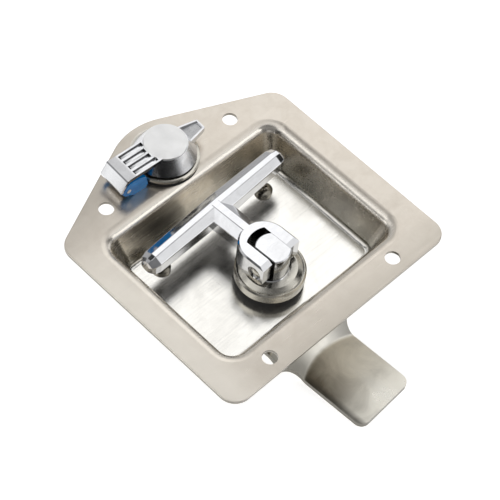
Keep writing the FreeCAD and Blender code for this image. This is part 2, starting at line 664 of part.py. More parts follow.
def make_cam_blade():
    upper = blade_section(0)
    lower = blade_section(-BLADE_T)
    sheet = turned(upper + lower[::-1])
    bends = edges_where(sheet, lambda b: b.XLength > BEND_R and b.ZLength < 0.01
                        and b.XMax < upper[2][0] + 1)
    sheet = sheet.makeFillet(BLADE_T * 1.5, bends)
    sheet.translate(vec(0, BEND_CENTRE_Y, 0))
    # Both fillets of a shoulder have to fit on the short edge between them
    half_turn = math.atan2(HUB_STEP, SHOULDER_RISE) / 2
    room = math.hypot(HUB_STEP, SHOULDER_RISE) / math.tan(half_turn)
    inner = min(SHOULDER_R, 0.9 * room)
    outer = 0.95 * (room - inner)
    outline = plate([
        (-TONGUE_HALF_W, TONGUE_TIP_Y, TONGUE_TIP_R), (TONGUE_HALF_W, TONGUE_TIP_Y, TONGUE_TIP_R),
        (TONGUE_HALF_W, SHOULDER_Y, inner), (HUB_HALF_W, SHOULDER_Y + SHOULDER_RISE, outer),
        (HUB_HALF_W, HUB_BACK_Y, HUB_CORNER_R), (-HUB_HALF_W, HUB_BACK_Y, HUB_CORNER_R),
        (-HUB_HALF_W, SHOULDER_Y + SHOULDER_RISE, outer), (-TONGUE_HALF_W, SHOULDER_Y, inner)],
        TONGUE_Z - 2 * BLADE_T, HUB_Z + BLADE_T)
    blade = sheet.common(outline)
    half = SQUARE_HALF + FIT_GAP
    return at_spindle(blade.cut(box(-half, half, -half, half, HUB_Z - 2 * BLADE_T, HUB_Z + 1)))


def make_cam_washer():
    top = HUB_Z - BLADE_T
    ring = rod(CAM_WASHER_R, top - CAM_WASHER_T, top)
    return at_spindle(ring.cut(rod(STUD_R + FIT_GAP, top - CAM_WASHER_T - 1, top + 1)))


def make_cam_nut():
    top = HUB_Z - BLADE_T - CAM_WASHER_T
    nut = hexagon(CAM_NUT_AF, top - CAM_NUT_H, top)
    return at_spindle(nut.cut(rod(STUD_R + FIT_GAP, top - CAM_NUT_H - 1, top + 1)))


def pin_rod(radius, half_length):
    return Part.makeCylinder(radius, 2 * half_length, vec(-half_length, 0, PIVOT_Z), vec(1, 0, 0))


def bar_wire(x, scale):
    half = [(BAR_FLAT, BAR_HALF_H), (BAR_HALF_W, BAR_SIDE),
            (BAR_HALF_W, -BAR_SIDE), (BAR_FLAT, -BAR_HALF_H)]
    ring = half + [(-y, z) for y, z in half[::-1]]
    points = [vec(x, BAR_Y + y * scale, BAR_Z + z * scale) for y, z in ring]
    return rounded_loop(points, [BAR_EDGE_R * scale] * len(points))


def stem_wire(y, half_w):
    half = [(STEM_TOP_FLAT, FORK_TOP_Z), (half_w, STEM_SHOULDER_Z), (half_w, STEM_WAIST_Z),
            (STEM_TOP_FLAT, STEM_FOOT_Z)]
    ring = half + [(-x, z) for x, z in half[::-1]]
    points = [vec(x, y, z) for x, z in ring]
    return rounded_loop(points, [STEM_EDGE_R] * len(points))


def make_fork():
    side_x = FORK_HALF_W
    corners = [vec(-side_x, PRONG_TOP_Y, FORK_TOP_Z), vec(-side_x, PRONG_END_Y, PRONG_BEVEL_Z)]
    low_z = PIVOT_Z - math.sqrt(NOSE_R ** 2 - PRONG_END_Y ** 2)
    nose_start = vec(-side_x, PRONG_END_Y, low_z)
    half_angle = (math.pi / 2 + math.acos(-PRONG_END_Y / NOSE_R)) / 2
    nose_mid = vec(-side_x, -NOSE_R * math.cos(half_angle), PIVOT_Z - NOSE_R * math.sin(half_angle))
    nose_end = vec(-side_x, 0, FORK_FOOT_Z)
    back_y = FORK_BACK_Y + FORK_HALF_W + 1
    back_low = vec(-side_x, back_y, FORK_FOOT_Z)
    back_top = vec(-side_x, back_y, FORK_TOP_Z)
    profile = Part.Wire([
        Part.LineSegment(corners[0], corners[1]).toShape(),
        Part.LineSegment(corners[1], nose_start).toShape(),
        Part.Arc(nose_start, nose_mid, nose_end).toShape(),
        Part.LineSegment(nose_end, back_low).toShape(),
        Part.LineSegment(back_low, back_top).toShape(),
        Part.LineSegment(back_top, corners[0]).toShape()])
    body = Part.Face(profile).extrude(vec(2 * side_x, 0, 0))
    plan = plate([
        (-side_x, PRONG_END_Y - 2, 0), (side_x, PRONG_END_Y - 2, 0),
        (side_x, FORK_BACK_Y + side_x, side_x - 0.05), (-side_x, FORK_BACK_Y + side_x, side_x - 0.05)],
        FORK_FOOT_Z, FORK_TOP_Z)
    rim = [edge for edge in level_edges(plan, FORK_TOP_Z) + level_edges(plan, FORK_FOOT_Z)
           if edge.BoundBox.YMax > PRONG_END_Y]
    plan = plan.makeChamfer(FORK_BEVEL, rim)
    return body.common(plan)


def fork_slot():
    low_y = PRONG_END_Y - 1
    middle = vec(0, SLOT_END_Y + SLOT_BULGE, 0)
    arc = Part.Arc(vec(SLOT_HALF_W, SLOT_END_Y, 0), middle, vec(-SLOT_HALF_W, SLOT_END_Y, 0))
    outline = Part.Wire([
        Part.LineSegment(vec(-SLOT_HALF_W, low_y, 0), vec(SLOT_HALF_W, low_y, 0)).toShape(),
        Part.LineSegment(vec(SLOT_HALF_W, low_y, 0), vec(SLOT_HALF_W, SLOT_END_Y, 0)).toShape(),
        arc.toShape(),
        Part.LineSegment(vec(-SLOT_HALF_W, SLOT_END_Y, 0), vec(-SLOT_HALF_W, low_y, 0)).toShape()])
    slot = Part.Face(outline).extrude(vec(0, 0, FORK_TOP_Z - FORK_FOOT_Z + 2))
    slot.translate(vec(0, 0, FORK_FOOT_Z - 1))
    return slot


def make_handle():
    half = [(BAR_HALF_L - inset, scale) for inset, scale in BAR_END_STEPS]
    stations = [(-x, scale) for x, scale in half[::-1]] + [(0.0, 1.0)] + half
    bar = Part.makeLoft([bar_wire(x, scale) for x, scale in stations], True, True)
    stem_ends = [stem_wire(STEM_FORK_Y, STEM_HALF_W_FORK), stem_wire(BAR_Y, STEM_HALF_W_BAR)]
    stem = Part.makeLoft(stem_ends, True, True)
    handle = make_fork().fuse([stem, bar]).removeSplitter()
    cuts = [fork_slot(), pin_rod(PIN_R + FIT_GAP / 2, FORK_HALF_W + 1)]
    recess_l = FORK_HALF_W - PIN_RECESS_X + 1
    for x in (-FORK_HALF_W - 1, PIN_RECESS_X):
        cuts.append(Part.makeCylinder(PIN_RECESS_R, recess_l, vec(x, 0, PIVOT_Z), vec(1, 0, 0)))
    return at_spindle(handle.cut(cuts))


def make_handle_pin():
    # Straight shank between two shallow domes
    tip = PIN_HALF_L + PIN_DOME
    dome_r = (PIN_R ** 2 + PIN_DOME ** 2) / (2 * PIN_DOME)
    mid_r = PIN_R / 2
    mid = tip - dome_r + math.sqrt(dome_r ** 2 - mid_r ** 2)
    low_dome = Part.Arc(vec(0, 0, -tip), vec(mid_r, 0, -mid), vec(PIN_R, 0, -PIN_HALF_L))
    high_dome = Part.Arc(vec(PIN_R, 0, PIN_HALF_L), vec(mid_r, 0, mid), vec(0, 0, tip))
    profile = Part.Wire([
        low_dome.toShape(),
        Part.LineSegment(vec(PIN_R, 0, -PIN_HALF_L), vec(PIN_R, 0, PIN_HALF_L)).toShape(),
        high_dome.toShape(),
        Part.LineSegment(vec(0, 0, tip), vec(0, 0, -tip)).toShape()])
    pin = Part.Face(profile).revolve(vec(0, 0, 0), vec(0, 0, 1), 360)
    pin.rotate(vec(0, 0, 0), vec(0, 1, 0), 90)
    pin.translate(vec(0, 0, PIVOT_Z))
    return at_spindle(pin)


def make_lock_housing():
    housing = turned([
        (PLUG_BORE_R, BARREL_END_Z), (BARREL_R - JOIN, BARREL_END_Z), (BARREL_R, BARREL_END_Z + JOIN),
        (BARREL_R, LOCK_GASKET_T), (BASE_R, LOCK_GASKET_T), (BASE_R, BASE_TOP_Z - BASE_EDGE),
        (BASE_R - BASE_EDGE, BASE_TOP_Z), (NECK_R, BASE_TOP_Z), (NECK_R, NECK_TOP_Z - JOIN),
        (NECK_R - JOIN, NECK_TOP_Z), (PLUG_HEAD_R + FIT_GAP, NECK_TOP_Z),
        (PLUG_HEAD_R + FIT_GAP, PLUG_HEAD_Z), (PLUG_BORE_R, PLUG_HEAD_Z)])
    return at_lock(housing)


def make_lock_gasket():
    return at_lock(turned([
        (BARREL_R + FIT_GAP, 0), (LOCK_GASKET_R, 0), (LOCK_GASKET_R, LOCK_GASKET_T),
        (BARREL_R + FIT_GAP, LOCK_GASKET_T)]))


def make_lock_nut():
    low = -SHEET_T - LOCK_NUT_H
    nut = hexagon(LOCK_NUT_AF, low, -SHEET_T)
    return at_lock(nut.cut(rod(BARREL_R + FIT_GAP, low - 1, 0)))


def make_key_plug():
    plug = turned([
        (0, PLUG_END_Z), (PLUG_R, PLUG_END_Z), (PLUG_R, PLUG_HEAD_Z + FIT_GAP),
        (PLUG_HEAD_R, PLUG_HEAD_Z + FIT_GAP), (PLUG_HEAD_R, PLUG_TOP_Z - JOIN),
        (PLUG_HEAD_R - JOIN, PLUG_TOP_Z), (0, PLUG_TOP_Z)])
    tail = box(-TAIL_HALF, TAIL_HALF, -TAIL_HALF, TAIL_HALF, LOCK_CAM_BACK_Z + FIT_GAP, PLUG_END_Z + JOIN)
    plug = plug.fuse(tail)
    keyway_foot = PLUG_TOP_Z - KEYWAY_D
    keyway = box(-KEYWAY_W / 2, KEYWAY_W / 2, -KEYWAY_L / 2, KEYWAY_L / 2, keyway_foot, PLUG_TOP_Z + 1)
    screw_top = LOCK_CAM_BACK_Z + LOCK_SCREW_DEPTH
    return at_lock(plug.cut([keyway, rod(LOCK_SCREW_R + FIT_GAP, LOCK_CAM_BACK_Z - 1, screw_top)]))


def make_lock_cam():
    hub = rod(LOCK_CAM_R, LOCK_CAM_BACK_Z, PLUG_END_Z)
    tip = rod(LOCK_CAM_TIP_R, LOCK_CAM_BACK_Z, PLUG_END_Z, LOCK_CAM_REACH, 0)
    root = LOCK_CAM_R - LOCK_CAM_TIP_R / 2
    arm = plate([
        (0, -root, 0), (LOCK_CAM_REACH, -LOCK_CAM_TIP_R, 0),
        (LOCK_CAM_REACH, LOCK_CAM_TIP_R, 0), (0, root, 0)], LOCK_CAM_BACK_Z, PLUG_END_Z)
    cam = hub.fuse([tip, arm]).removeSplitter()
    half = TAIL_HALF + FIT_GAP
    return at_lock(cam.cut(box(-half, half, -half, half, LOCK_CAM_BACK_Z - 1, PLUG_END_Z + 1)))


def make_lock_cam_washer():
    low = LOCK_CAM_BACK_Z - WASHER_T
    ring = rod(LOCK_WASHER_R, low, LOCK_CAM_BACK_Z)
    return at_lock(ring.cut(rod(LOCK_SCREW_R + FIT_GAP, low - 1, 0)))


def make_lock_cam_screw():
    seat = LOCK_CAM_BACK_Z - WASHER_T
    depth = WASHER_T + LOCK_SCREW_DEPTH - JOIN
    screw = pan_screw(LOCK_SCREW_R, LOCK_SCREW_HEAD_R, LOCK_SCREW_HEAD_H, SCREW_DOME_H, -depth, 0)
    screw.rotate(vec(0, 0, 0), vec(1, 0, 0), 180)
    screw.translate(vec(0, 0, seat))
    return at_lock(screw)


def around_hinge(degrees, y):
    angle = math.radians(degrees)
    return vec(HINGE_X + BRACKET_ARC_R * math.cos(angle), y, HINGE_Z + BRACKET_ARC_R * math.sin(angle))


def cheek_profile(y):
    # Side outline of one hinge cheek with its back rounded about the pin
    start = around_hinge(BRACKET_ARC_START, y)
    middle = around_hinge(BRACKET_ARC_MID, y)
    end = vec(HINGE_X, y, HINGE_Z - BRACKET_ARC_R)
    crown = [vec(HINGE_X + x, y, z) for x, z in BRACKET_CROWN]
    spline = Part.BSplineCurve()
    spline.interpolate([start] + crown)
    tip = vec(BRACKET_TIP_X, y, BRACKET_TIP_Z)
    heel = vec(BRACKET_HEEL_X, y, 0)
    foot = vec(BRACKET_FOOT_X, y, 0)
    return Part.Wire([
        Part.Arc(end, middle, start).toShape(),
        spline.toShape(),
        Part.LineSegment(crown[-1], tip).toShape(),
        Part.LineSegment(tip, heel).toShape(),
        Part.LineSegment(heel, foot).toShape(),
        Part.LineSegment(foot, end).toShape()])


def make_hinge_bracket():
    width = CHEEK_OUT - CHEEK_IN
    cheeks = [Part.Face(cheek_profile(y)).extrude(vec(0, width, 0)) for y in (-CHEEK_OUT, CHEEK_IN)]
    floor = box(BRACKET_FOOT_X, BRACKET_HEEL_X, -CHEEK_OUT, CHEEK_OUT, 0, BRACKET_FLOOR_T)
    pegs = []
    for y in (-PEG_Y, PEG_Y):
        peg = turned([
            (0, PEG_END_Z), (PEG_R, PEG_END_Z), (PEG_HEAD_R, PEG_END_Z + JOIN),
            (PEG_HEAD_R, -SHEET_T - FIT_GAP), (PEG_R, -SHEET_T - FIT_GAP), (PEG_R, JOIN), (0, JOIN)])
        peg.translate(vec(PEG_X, y, 0))
        pegs.append(peg)
    bracket = cheeks[0].fuse([cheeks[1], floor] + pegs).removeSplitter()
    return at_cap(bracket.cut(hinge_rod(HINGE_PIN_R + FIT_GAP / 2, CHEEK_OUT + 1)))


def hinge_rod(radius, half_length):
    return Part.makeCylinder(radius, 2 * half_length, vec(HINGE_X, -half_length, HINGE_Z), vec(0, 1, 0))


def make_cap_hinge_pin():
    return at_cap(hinge_rod(HINGE_PIN_R, HINGE_PIN_HALF_L))


def side_slab(points, half_w):
    # Solid of constant width from an (x, z) side outline
    outline = [vec(x, -half_w, z) for x, z in points]
    return Part.Face(Part.makePolygon(outline + outline[:1])).extrude(vec(0, 2 * half_w, 0))


def make_cap_arm():
    arm = box(ARM_END_X, 0, -ARM_HALF_W, ARM_HALF_W, ARM_LOW_Z, ARM_TOP_Z)
    slope = (ARM_END_X - CAP_NOSE_X) / (ARM_TOP_Z - CAP_NOSE_Z)
    under_x = ARM_END_X - (ARM_TOP_Z - ARM_LOW_Z) * slope
    nose = side_slab([
        (ARM_END_X + CAP_NOSE_T, ARM_LOW_Z), (ARM_END_X + CAP_NOSE_T, ARM_TOP_Z), (ARM_END_X, ARM_TOP_Z),
        (CAP_NOSE_X, CAP_NOSE_Z), (CAP_NOSE_X, CAP_NOSE_FOOT_Z),
        (CAP_NOSE_X + CAP_NOSE_T, CAP_NOSE_FOOT_Z), (CAP_NOSE_X + CAP_NOSE_T, CAP_NOSE_Z),
        (under_x + CAP_NOSE_T, ARM_LOW_Z)], CAP_NOSE_HALF_W)
    lug = Part.makeCylinder(LUG_R, 2 * LUG_HALF_W, vec(HINGE_X, -LUG_HALF_W, HINGE_Z), vec(0, 1, 0))
    wall_x = ARM_END_X + CAP_NOSE_T / 2
    web_x, web_top = HINGE_X - LUG_R, ARM_LOW_Z + JOIN
    web = side_slab([
        (web_x, HINGE_Z), (web_x, ARM_TOP_Z - (wall_x - web_x) / slope),
        (wall_x - (ARM_TOP_Z - web_top) * slope, web_top),
        (HINGE_X + LUG_R, web_top), (HINGE_X + LUG_R, HINGE_Z)], LUG_HALF_W)
    return arm.fuse([nose, lug, web]).removeSplitter()


def rib_cuts():
    cuts = []
    for step in RIB_STEPS:
        y0 = step * RIB_PITCH - RIB_SLOT_W / 2
        y1 = step * RIB_PITCH + RIB_SLOT_W / 2
        inner_x = -math.sqrt((DISC_R + JOIN) ** 2 - (step * RIB_PITCH) ** 2)
        cuts.append(box(RIB_SLOT_END_X, inner_x, y0, y1, ARM_TOP_Z - RIB_SLOT_D, ARM_TOP_Z + 1))
        pit_z = ARM_TOP_Z - RIB_PIT_D
        cuts.append(box(inner_x - RIB_PIT_INNER_L, inner_x, y0, y1, pit_z, ARM_TOP_Z + 1))
        cuts.append(box(RIB_SLOT_END_X, RIB_SLOT_END_X + RIB_PIT_OUTER_L, y0, y1, pit_z, ARM_TOP_Z + 1))
    return cuts


def make_cap_tab():
    # Open trough that tapers away from the cone
    low = side_slab([
        (TAB_ROOT_X, TAB_LOW_ROOT_Z), (TAB_TIP_X, TAB_LOW_TIP_Z),
        (TAB_TIP_X, TAB_TOP_Z), (TAB_ROOT_X, TAB_TOP_Z)], TAB_ROOT_HALF_W)
    plan = plate([
        (TAB_ROOT_X, -TAB_ROOT_HALF_W, 0), (TAB_TIP_X, -TAB_TIP_HALF_W, TAB_TIP_R),
        (TAB_TIP_X, TAB_TIP_HALF_W, TAB_TIP_R), (TAB_ROOT_X, TAB_ROOT_HALF_W, 0)], CAP_FOOT_Z, CAP_TOP_Z)
    trough_tip_x = TAB_TIP_X - TAB_WALL
    trough = side_slab([
        (TAB_ROOT_X - 1, TAB_FLOOR_ROOT_Z), (trough_tip_x, TAB_FLOOR_TIP_Z),
        (trough_tip_x, TAB_TOP_Z + 1), (TAB_ROOT_X - 1, TAB_TOP_Z + 1)], TAB_ROOT_HALF_W)
    trough_plan = plate([
        (TAB_ROOT_X - 1, -TAB_ROOT_HALF_W + TAB_WALL, 0), (TAB_TIP_X, -TAB_TIP_HALF_W + TAB_WALL, 0),
        (TAB_TIP_X, TAB_TIP_HALF_W - TAB_WALL, 0), (TAB_ROOT_X - 1, TAB_ROOT_HALF_W - TAB_WALL, 0)],
        CAP_FOOT_Z, CAP_TOP_Z)
    return low.common(plan).cut(trough.common(trough_plan))


def make_weather_cap():
    cone = turned([(0, CAP_FOOT_Z), (CAP_FOOT_R, CAP_FOOT_Z), (CAP_TOP_R, CAP_TOP_Z), (0, CAP_TOP_Z)])
    arm = make_cap_arm()
    seat = rod(DISC_R + FIT_GAP, CAP_SEAT_Z, ARM_TOP_Z + 1)
    cap = cone.fuse([arm, make_cap_tab()]).removeSplitter()
    hollow = turned([
        (0, CAP_FOOT_Z - 1), (CAP_MOUTH_R, CAP_FOOT_Z - 1), (CAP_MOUTH_R, CAP_FOOT_Z),
        (CAP_BORE_R, CAP_MOUTH_Z), (CAP_BORE_R, CAP_CEILING_Z), (0, CAP_CEILING_Z)])
    far_side = box(0, DISC_R + 1, -ARM_HALF_W - 1, ARM_HALF_W + 1, CAP_TOP_Z, ARM_TOP_Z + 1)
    cap = cap.cut([seat, hollow, far_side, hinge_rod(HINGE_PIN_R + FIT_GAP, CHEEK_OUT)] + rib_cuts())
    return at_cap(cap)


def make_cap_disc():
    return at_cap(turned([
        (0, CAP_SEAT_Z), (DISC_R, CAP_SEAT_Z), (DISC_R, DISC_TOP_Z - DISC_EDGE),
        (DISC_R - DISC_EDGE, DISC_TOP_Z), (0, DISC_TOP_Z)]))


def make_cap_seal():
    return at_cap(rod(CAP_SEAL_R, CAP_SEAL_Z, CAP_CEILING_Z))


NODES = (
    ("dish", make_dish),
    ("collar", make_collar),
    ("collar_gasket", make_collar_gasket),
    ("backing_plate", make_backing_plate),
    ("backing_screws", make_backing_screws),
    ("backing_washers", make_backing_washers),
    ("backing_nuts", make_backing_nuts),
    ("sleeve_nut", make_sleeve_nut),
    ("spindle", make_spindle),
    ("spindle_seal", make_spindle_seal),
    ("thrust_washer", make_thrust_washer),
    ("cam_blade", make_cam_blade),
    ("cam_washer", make_cam_washer),
    ("cam_nut", make_cam_nut),
    ("handle", make_handle),
    ("handle_pin", make_handle_pin),
    ("lock_housing", make_lock_housing),
    ("lock_gasket", make_lock_gasket),
    ("lock_nut", make_lock_nut),
    ("key_plug", make_key_plug),
    ("lock_cam", make_lock_cam),
    ("lock_cam_washer", make_lock_cam_washer),
    ("lock_cam_screw", make_lock_cam_screw),
    ("hinge_bracket", make_hinge_bracket),
    ("cap_hinge_pin", make_cap_hinge_pin),
    ("weather_cap", make_weather_cap),
    ("cap_disc", make_cap_disc),
    ("cap_seal", make_cap_seal),
)

os.makedirs("parts", exist_ok=True)
for name, build in NODES:
    shape = build()
    print(name, len(shape.Solids), shape.isValid(), round(shape.Volume, 1))
    shape.exportStep("parts/" + name + ".step")
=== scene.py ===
import math

import bmesh
import bpy
from mathutils import Matrix, Vector


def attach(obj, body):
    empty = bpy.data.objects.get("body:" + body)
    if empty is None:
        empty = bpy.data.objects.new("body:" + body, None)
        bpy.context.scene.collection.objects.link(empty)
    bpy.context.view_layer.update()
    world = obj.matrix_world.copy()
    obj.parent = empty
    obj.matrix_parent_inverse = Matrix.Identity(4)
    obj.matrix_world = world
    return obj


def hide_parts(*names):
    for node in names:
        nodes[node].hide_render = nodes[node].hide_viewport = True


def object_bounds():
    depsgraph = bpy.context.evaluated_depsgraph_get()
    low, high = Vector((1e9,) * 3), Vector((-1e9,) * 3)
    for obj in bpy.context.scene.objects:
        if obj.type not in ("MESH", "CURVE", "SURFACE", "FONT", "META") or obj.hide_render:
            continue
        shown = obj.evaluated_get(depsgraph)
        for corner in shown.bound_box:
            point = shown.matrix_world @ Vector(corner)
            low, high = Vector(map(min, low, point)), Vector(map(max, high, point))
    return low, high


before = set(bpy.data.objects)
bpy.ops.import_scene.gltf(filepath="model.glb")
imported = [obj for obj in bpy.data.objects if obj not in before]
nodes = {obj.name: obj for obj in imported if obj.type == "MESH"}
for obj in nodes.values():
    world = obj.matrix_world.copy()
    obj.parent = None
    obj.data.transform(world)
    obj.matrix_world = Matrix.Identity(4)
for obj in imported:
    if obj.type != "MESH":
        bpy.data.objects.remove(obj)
cad_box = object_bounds()
scene = bpy.context.scene
MM = 0.001

# Axes of the two locks in millimetres, and how far the handle and the cap are turned at rest.
SPINDLE = Vector((0.0, -13.4, 0.0))
LOCK = Vector((0.0, 50.2, 0.0))
SCREW_X = 29.4
SCREW_Y = 19.5
REST_TURN = math.radians(3.2)
CAP_TURN = math.radians(-3.0)
BLADE_TURN = 0.056

# Zones of the finish and of the painted light and shade in millimetres: where each one starts to fade in or
# out, and where that ends.
DISH_FLOOR = (-17.8, -16.8)
DISH_WALL_TOP = (-3.4, -1.4)
SHEET_EDGE_FOOT = (-1.6, -1.2)
WALL_SHADE_RISE = (-16.5, -2.0)
ROLL_FOOT = (-4.2, -1.6)
ROLL_TOP = (-1.0, -0.04)
SHADED_LOW_EDGE_Y = (-53, -40)
SHADED_LOW_EDGE_X = (-45, -10)
CAP_SHADE_X = (-30, 20)
CAP_SHADE_Y = (34, 56)
LIT_LEFT_EDGE_X = (-55, -43)
LIT_LEFT_EDGE_Y = (20, 42)
FORK_SLOT_HALF_W = (7.0, 7.8)
FORK_SLOT_REACH = (10.4, 11.2)
PLAIN_TOP_LEFT = (-25.5, -25.0)
PLAIN_TOP_RIGHT = (-21.5, -20.5)
RIDGE_OUTER = (-25.75, -25.50)
RIDGE_INNER = (-25.30, -25.05)
GROOVE_FOOT = (9.0, 9.8)
CONE_LEFT = (-10.5, -9.5)
STREAK_LEFT = (-1.5, 2.2)
STREAK_RIGHT = (2.2, 6.5)
STREAK_FADE = (-66, -54)
BLADE_SHADE_X = (-14, 3)
BLADE_SHADE_Y = (-80, -56)
SHADED_BRINK_X = (-15.2, -12.8)
SHADED_BRINK_Y = (-52, -44)
LIT_SLOPE_X = (-12, 8)


class Look:
    """A node material built step by step in object coordinates, which are metres."""

    def __init__(self, name):
        self.mat = bpy.data.materials.new(name)
        self.mat.use_nodes = True
        self.tree = self.mat.node_tree
        self.bsdf = self.tree.nodes["Principled BSDF"]
        source = self.tree.nodes.new("ShaderNodeTexCoord")
        self.coord = source.outputs["Object"]
        self.normal = source.outputs["Normal"]

    def node(self, kind, **values):
        made = self.tree.nodes.new(kind)
        for key, value in values.items():
            setattr(made, key, value)
        return made

    def link(self, out, into):
        self.tree.links.new(out, into)

    def mapped(self, scale=(1, 1, 1), turn=(0, 0, 0), shift=(0, 0, 0)):
        m = self.node("ShaderNodeMapping")
        m.inputs["Scale"].default_value = scale
        m.inputs["Rotation"].default_value = turn
        m.inputs["Location"].default_value = shift
        self.link(self.coord, m.inputs["Vector"])
        return m.outputs["Vector"]

    def local(self, centre, turn):
        """Distances across and along from a centre on the Y axis, in a frame turned about Z."""
        shift = (-centre.y * MM * math.sin(turn), -centre.y * MM * math.cos(turn), 0)
        placed = self.mapped(turn=(0, 0, -turn), shift=shift)
        return self.part(placed, 0), self.part(placed, 1)

    def noise(self, size_mm, detail=4.0, rough=0.55,
              stretch=(1, 1, 1), turn=(0, 0, 0), shift=(0, 0, 0), warp=0.0):
        n = self.node("ShaderNodeTexNoise")
        n.inputs["Scale"].default_value = 1000.0 / size_mm
        n.inputs["Detail"].default_value = detail
        n.inputs["Roughness"].default_value = rough
        n.inputs["Distortion"].default_value = warp
        self.link(self.mapped(stretch, turn, shift), n.inputs["Vector"])
        return n.outputs["Fac"]

    def band(self, value, low, high, to_low=0.0, to_high=1.0, smooth=False):
        r = self.node("ShaderNodeMapRange", interpolation_type="SMOOTHSTEP" if smooth else "LINEAR")
        r.inputs["From Min"].default_value = low
        r.inputs["From Max"].default_value = high
        r.inputs["To Min"].default_value = to_low
        r.inputs["To Max"].default_value = to_high
        self.link(value, r.inputs["Value"])
        return r.outputs["Result"]

    def zone(self, value, ends, to_low=0.0, to_high=1.0):
        """A band between two places that are given in millimetres."""
        return self.band(value, ends[0] * MM, ends[1] * MM, to_low, to_high)

    def math(self, kind, a, b):
        m = self.node("ShaderNodeMath", operation=kind)
        for socket, value in zip(m.inputs, (a, b)):
            if isinstance(value, (int, float)):
                socket.default_value = value
            else:
                self.link(value, socket)
        return m.outputs["Value"]

    def times(self, a, b):
        return self.math("MULTIPLY", a, b)

    def plus(self, a, b):
        return self.math("ADD", a, b)

    def size_of(self, value):
        return self.math("ABSOLUTE", value, 0)

    def mix(self, fac, a, b):
        m = self.node("ShaderNodeMix", data_type="RGBA")
        for socket, value in ((m.inputs["Factor"], fac), (m.inputs[6], a), (m.inputs[7], b)):
            if isinstance(value, (int, float)):
                socket.default_value = value
            elif isinstance(value, tuple):
                socket.default_value = value + (1.0,) if len(value) == 3 else value
            else:
                self.link(value, socket)
        return m.outputs[2]

    def part(self, vector, which):
        s = self.node("ShaderNodeSeparateXYZ")
        self.link(vector, s.inputs[0])
        return s.outputs[which]

    def axis(self, which):
        return self.part(self.coord, which)

    def facing(self, which):
        return self.part(self.normal, which)

    def turned_to(self, direction):
        """How far a face is turned to a direction, from -1 to 1."""
        dot = self.node("ShaderNodeVectorMath", operation="DOT_PRODUCT")
        self.link(self.normal, dot.inputs[0])
        dot.inputs[1].default_value = direction
        return dot.outputs["Value"]

    def color(self, value):
        self.link(value, self.bsdf.inputs["Base Color"])

    def rough(self, value):
        self.link(value, self.bsdf.inputs["Roughness"])

    def fixed(self, **values):
        for key, value in values.items():
            self.bsdf.inputs[key.replace("_", " ")].default_value = value

    def bump(self, layers):
        normal = None
        for value, depth_mm in layers:
            b = self.node("ShaderNodeBump")
            b.inputs["Strength"].default_value = 1.0
            b.inputs["Distance"].default_value = depth_mm * MM
            self.link(value, b.inputs["Height"])
            if normal is not None:
                self.link(normal, b.inputs["Normal"])
            normal = b.outputs["Normal"]
        self.link(normal, self.bsdf.inputs["Normal"])


